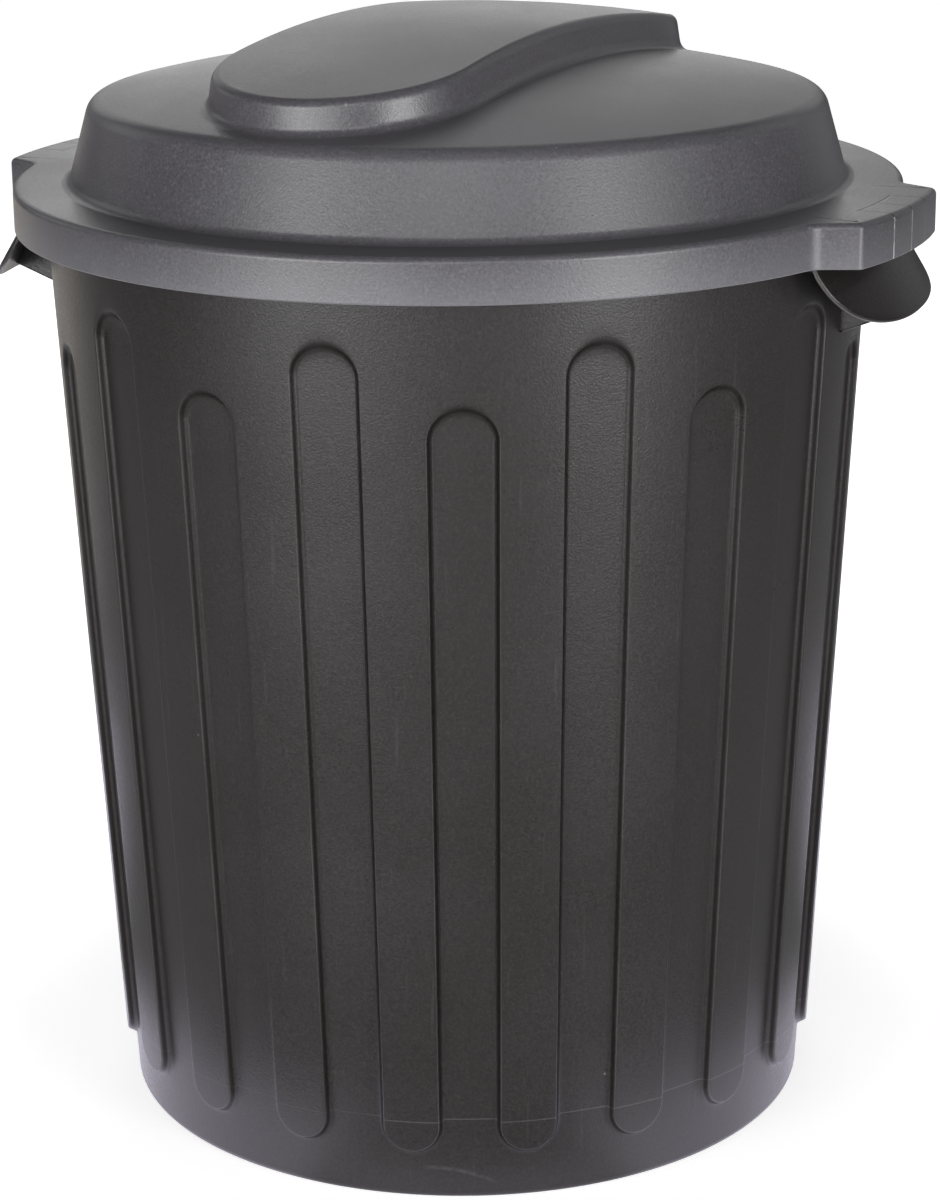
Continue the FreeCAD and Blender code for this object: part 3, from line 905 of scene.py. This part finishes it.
def tubPlastic():
    look = tubLook
    material, tree, shader, place = startMaterial("tubPlastic")
    marks = useGroup(tree, grain, place)
    lines = useGroup(tree, wallMarks, place)
    colour = moulded(tree, marks, look["dark"], look["light"], look["mottle"])
    hairline = maths(tree, "MULTIPLY", lines["Hairline"], look["hairline"])
    colour = mixColour(tree, hairline, colour, look["worn"])
    edge = addNode(tree, "ShaderNodeAttribute", {"attribute_name": "edge"}).outputs["Fac"]
    # Below zero the edge attribute is painted shade on the slopes: it darkens the colour towards the hollow
    # colour and cuts the gloss.
    shade = maths(tree, "MAXIMUM", maths(tree, "MULTIPLY", edge, -1.0), 0.0)
    # Above zero the edge attribute lays the worn colour on as the light line, partly wear and partly a
    # painted highlight, broken by the clouds.
    rubAndSheen = remap(tree, marks["Cloud"], look["rubSheenFrom"], look["rubSheenTo"], look["rubSheenLeast"], look["rubSheenMost"])
    rubbedAndSheen = maths(tree, "MULTIPLY", maths(tree, "MAXIMUM", edge, 0.0), rubAndSheen)
    colour = mixColour(tree, rubbedAndSheen, colour, look["worn"])
    colour = mixColour(tree, maths(tree, "MULTIPLY", lines["Level"], look["level"]), colour, look["worn"])
    colour = mixColour(tree, maths(tree, "MULTIPLY", lines["Scuff"], look["scuff"]), colour, look["worn"])
    colour = mixColour(tree, maths(tree, "MULTIPLY", marks["Speck"], look["speck"]), colour, look["dust"])
    colour = mixColour(tree, shade, colour, look["hollow"])
    tree.links.new(colour, shader.inputs["Base Color"])
    finish(tree, shader, marks, marks["Height"], look["grainDepth"], look["rough"], look["gloss"])
    shadeGlossCut = maths(tree, "MULTIPLY", shade, -look["gloss"] * look["shadeDulling"])
    tree.links.new(maths(tree, "ADD", shadeGlossCut, look["gloss"]), shader.inputs["Specular IOR Level"])
    return material


lidLook = {
    "dark": (0.084, 0.0805, 0.090),
    "light": (0.097, 0.0935, 0.104),
    # The worn colour is the light line along the skirt's foot: partly wear, partly a painted highlight.
    "worn": (0.28, 0.28, 0.30),
    "seam": (0.012, 0.012, 0.012),
    "scratch": (0.55, 0.55, 0.55),
    "dust": (0.34, 0.33, 0.32),
    "rubAndSheen": 0.5,
    "speck": 0.4,
    "line": 0.9,
    "lineDepth": 3.0,
    "mottle": 0.55,
    "grainDepth": 0.00010,
    "rough": 0.36,
    "gloss": 0.65,
}


def lidPlastic():
    look = lidLook
    material, tree, shader, place = startMaterial("lidPlastic")
    marks = useGroup(tree, grain, place)
    seams = useGroup(tree, lugMarks, place)
    colour = moulded(tree, marks, look["dark"], look["light"], look["mottle"])
    edge = addNode(tree, "ShaderNodeAttribute", {"attribute_name": "edge"}).outputs["Fac"]
    # The edge attribute lays on the light line along the skirt's foot, partly wear and partly a painted
    # highlight.
    colour = mixColour(tree, maths(tree, "MULTIPLY", edge, look["rubAndSheen"]), colour, look["worn"])
    colour = mixColour(tree, maths(tree, "MULTIPLY", marks["Speck"], look["speck"]), colour, look["dust"])
    colour = mixColour(tree, maths(tree, "MULTIPLY", seams["Line"], look["line"]), colour, look["seam"])
    colour = mixColour(tree, seams["Light"], colour, look["scratch"])
    tree.links.new(colour, shader.inputs["Base Color"])
    sunk = maths(tree, "MULTIPLY", seams["Line"], look["lineDepth"])
    height = maths(tree, "SUBTRACT", marks["Height"], sunk)
    finish(tree, shader, marks, height, look["grainDepth"], look["rough"], look["gloss"])
    return material


tubShell.data.materials.append(tubPlastic())
lidShell.data.materials.append(lidPlastic())
print("materials made")


# The photograph's camera, solved from the bin's own outline. Its azimuth is from the
# handles' cross line, its lens for a frame whose long side is the sensor's width.
shot = {
    "azimuth": 17.7,
    "distance": 1.84984,
    "height": 0.85726,
    "down": 17.119,
    "roll": -0.616,
    "lens": 98.46,
    "sensor": 36.0,
    "shiftX": 0.0063,
    "farEnd": 50.0,
}


# The room's white floor and sky. To the camera the floor glows a little more the
# further it is from the bin, so it ends in plain white. In reflections only some of it
# glows: a ring round the foot that leaves out the camera's side, a thin strip right at
# the foot, a part close behind the bin, and a faint warm part at the back left.
room = {
    "floorHalf": 6.0,
    "floorColour": (0.8, 0.8, 0.8, 1),
    "floorRough": 0.9,
    "glowNear": 0.66,
    "glowFar": 1.0,
    "glowStart": 0.24,
    "glowEnd": 0.50,
    "ringColour": (0.86, 0.82, 1.0),
    "ringGlow": 1.25,
    "ringStart": 0.26,
    "ringEnd": 0.33,
    "backGlow": 1.5,
    "backStart": 0.55,
    "backEnd": 0.90,
    "backSide": 120.0,
    "backSoft": 10.0,
    "ringFront": 10.0,
    "ringSide": 34.0,
    "contactGlow": 0.55,
    "contactStart": 0.222,
    "contactEnd": 0.245,
    "leftColour": (1.0, 0.90, 0.80),
    "leftGlow": 0.42,
    "leftStart": 0.62,
    "leftEnd": 1.40,
    "leftAzimuth": -154.0,
    "leftInner": 18.0,
    "leftOuter": 40.0,
    "skyLight": 0.025,
    "skySeen": 1.0,
}


def cosine(degrees):
    return math.cos(math.radians(degrees))


# Cosine of the angle, seen from the middle, between a place on the floor and a direction
# counted from the camera's side: their dot product over the place's distance.
def facingShare(tree, place, away, degrees):
    turn = math.radians(shot["azimuth"] + degrees)
    along = addNode(tree, "ShaderNodeVectorMath", {"operation": "DOT_PRODUCT"},
                    {1: (math.sin(turn), -math.cos(turn), 0)}, {0: place}).outputs["Value"]
    return maths(tree, "DIVIDE", along, away)


def makeFloor():
    mesh = bpy.data.meshes.new("floor")
    half = room["floorHalf"]
    corners = [(-half, -half, 0), (half, -half, 0), (half, half, 0), (-half, half, 0)]
    mesh.from_pydata(corners, [], [(0, 1, 2, 3)])
    floor = bpy.data.objects.new("floor", mesh)
    bpy.context.scene.collection.objects.link(floor)
    material, tree, shader, place = startMaterial("floorWhite")
    shader.inputs["Base Color"].default_value = room["floorColour"]
    shader.inputs["Roughness"].default_value = room["floorRough"]
    away = addNode(tree, "ShaderNodeVectorMath", {"operation": "LENGTH"}, None, {0: place}).outputs["Value"]
    seen = remap(tree, away, room["glowStart"], room["glowEnd"], room["glowNear"], room["glowFar"])
    frontness = facingShare(tree, place, away, 0.0)
    near = remap(tree, away, room["ringStart"], room["ringEnd"], room["ringGlow"], 0.0)
    aside = remap(tree, frontness, cosine(room["ringSide"]), cosine(room["ringFront"]), 1.0, 0.0)
    ring = maths(tree, "MULTIPLY", near, aside)
    near = remap(tree, away, room["backStart"], room["backEnd"], room["backGlow"], 0.0)
    behind = remap(tree, frontness, cosine(room["backSide"] + room["backSoft"]),
                   cosine(room["backSide"] - room["backSoft"]), 1.0, 0.0)
    back = maths(tree, "MULTIPLY", near, behind)
    contact = remap(tree, away, room["contactStart"], room["contactEnd"], room["contactGlow"], 0.0)
    leftness = facingShare(tree, place, away, room["leftAzimuth"])
    left = remap(tree, leftness, cosine(room["leftOuter"]), cosine(room["leftInner"]), 0.0, 1.0)
    left = maths(tree, "MULTIPLY", left, remap(tree, away, room["leftStart"], room["leftEnd"], 0.0, 1.0))
    mirrored = maths(tree, "MULTIPLY", left, room["leftGlow"])
    for part in (ring, back, contact):
        mirrored = maths(tree, "MAXIMUM", mirrored, part)
    ray = tree.nodes.new("ShaderNodeLightPath")
    shown = maths(tree, "MAXIMUM", ray.outputs["Is Camera Ray"], ray.outputs["Is Transmission Ray"])
    strength = maths(tree, "ADD", maths(tree, "MULTIPLY", seen, shown),
                     maths(tree, "MULTIPLY", mirrored, ray.outputs["Is Glossy Ray"]))
    tint = mixColour(tree, left, room["ringColour"], room["leftColour"])
    colour = mixColour(tree, ray.outputs["Is Glossy Ray"], (1.0, 1.0, 1.0), tint)
    glow = addNode(tree, "ShaderNodeEmission", None, None, {"Strength": strength, "Color": colour})
    lit = addNode(tree, "ShaderNodeAddShader", None, None,
                  {0: shader.outputs["BSDF"], 1: glow.outputs["Emission"]})
    tree.links.new(lit.outputs["Shader"], tree.nodes["Material Output"].inputs["Surface"])
    mesh.materials.append(material)


makeFloor()


# The sky gives the bin a faint even light, and is plain white to the camera.
def makeWorld():
    world = bpy.data.worlds.new("studio")
    bpy.context.scene.world = world
    world.use_nodes = True
    tree = world.node_tree
    light = tree.nodes["Background"]
    light.inputs["Color"].default_value = (1, 1, 1, 1)
    light.inputs["Strength"].default_value = room["skyLight"]
    seen = addNode(tree, "ShaderNodeBackground", None, {"Color": (1, 1, 1, 1), "Strength": room["skySeen"]})
    ray = tree.nodes.new("ShaderNodeLightPath")
    shown = maths(tree, "MAXIMUM", ray.outputs["Is Camera Ray"], ray.outputs["Is Transmission Ray"])
    mix = addNode(tree, "ShaderNodeMixShader", None, None,
                  {"Fac": shown, 1: light.outputs["Background"], 2: seen.outputs["Background"]})
    tree.links.new(mix.outputs["Shader"], tree.nodes["World Output"].inputs["Surface"])


makeWorld()

# Round soft lamps that look at the bin from all sides. Azimuth 0 is the camera's own,
# and grows towards the right of the picture. Most powers are rounded results of a
# least-squares fit to the photograph's brightness, and the others were set one by one.
lamps = {
    "distance": 2.8,
    "size": 1.3,
    "aimHeight": 0.4,
    "frontLeft": {"azimuth": -42, "elevation": 6, "power": 28},
    "frontNear": {"azimuth": -22, "elevation": 6, "power": 16},
    "frontRight": {"azimuth": 38, "elevation": 6, "power": 39},
    "leftHigh": {"azimuth": -52, "elevation": 20, "power": 5.0},
    "rightHigh": {"azimuth": 58, "elevation": 20, "power": 4.5},
    "frontHigh": {"azimuth": 0, "elevation": 25, "power": 9.5},
    "sideLeft": {"azimuth": -125, "elevation": 20, "power": 2.5},
    "sideRight": {"azimuth": 125, "elevation": 30, "power": 1.5},
    "sideRightLow": {"azimuth": 138, "elevation": 6, "power": 1.1},
    "backLeft": {"azimuth": -160, "elevation": 25, "power": 3.8},
    "backLeftLow": {"azimuth": -160, "elevation": 6, "power": 1.2},
    "backRight": {"azimuth": 160, "elevation": 22, "power": 2.7},
    "backLow": {"azimuth": 180, "elevation": 6, "power": 4.8},
    "backMid": {"azimuth": 180, "elevation": 25, "power": 2.2},
    "backHigh": {"azimuth": 180, "elevation": 45, "power": 4.2},
}


def makeLamp(name, azimuth, elevation, power):
    data = bpy.data.lights.new(name, "AREA")
    data.shape = "DISK"
    data.size = lamps["size"]
    data.energy = power
    turn, tilt = math.radians(shot["azimuth"] + azimuth), math.radians(elevation)
    away = Vector((math.sin(turn) * math.cos(tilt), -math.cos(turn) * math.cos(tilt), math.sin(tilt)))
    lamp = bpy.data.objects.new(name, data)
    lamp.location = away * lamps["distance"] + Vector((0, 0, lamps["aimHeight"]))
    lamp.rotation_euler = away.to_track_quat("Z", "Y").to_euler()
    bpy.context.scene.collection.objects.link(lamp)


def makeCamera():
    data = bpy.data.cameras.new("camera")
    camera = bpy.data.objects.new("camera", data)
    bpy.context.scene.collection.objects.link(camera)
    azimuth, down, roll = (math.radians(shot[word]) for word in ("azimuth", "down", "roll"))
    away = Vector((math.sin(azimuth), -math.cos(azimuth), 0))
    ahead = (-away * math.cos(down) - Vector((0, 0, math.sin(down)))).normalized()
    right = ahead.cross(Vector((0, 0, 1))).normalized()
    up = right.cross(ahead)
    facing = Matrix((right, up, -ahead)).transposed() @ Matrix.Rotation(roll, 3, "Z")
    place = away * shot["distance"] + Vector((0, 0, shot["height"]))
    camera.matrix_world = Matrix.Translation(place) @ facing.to_4x4()
    data.lens = shot["lens"]
    data.sensor_width = shot["sensor"]
    data.shift_x = shot["shiftX"]
    data.clip_end = shot["farEnd"]
    bpy.context.scene.camera = camera


makeCamera()
for name, values in lamps.items():
    if isinstance(values, dict):
        makeLamp(name, **values)
print("camera and lamps made")
bpy.context.scene.view_settings.view_transform = "Standard"
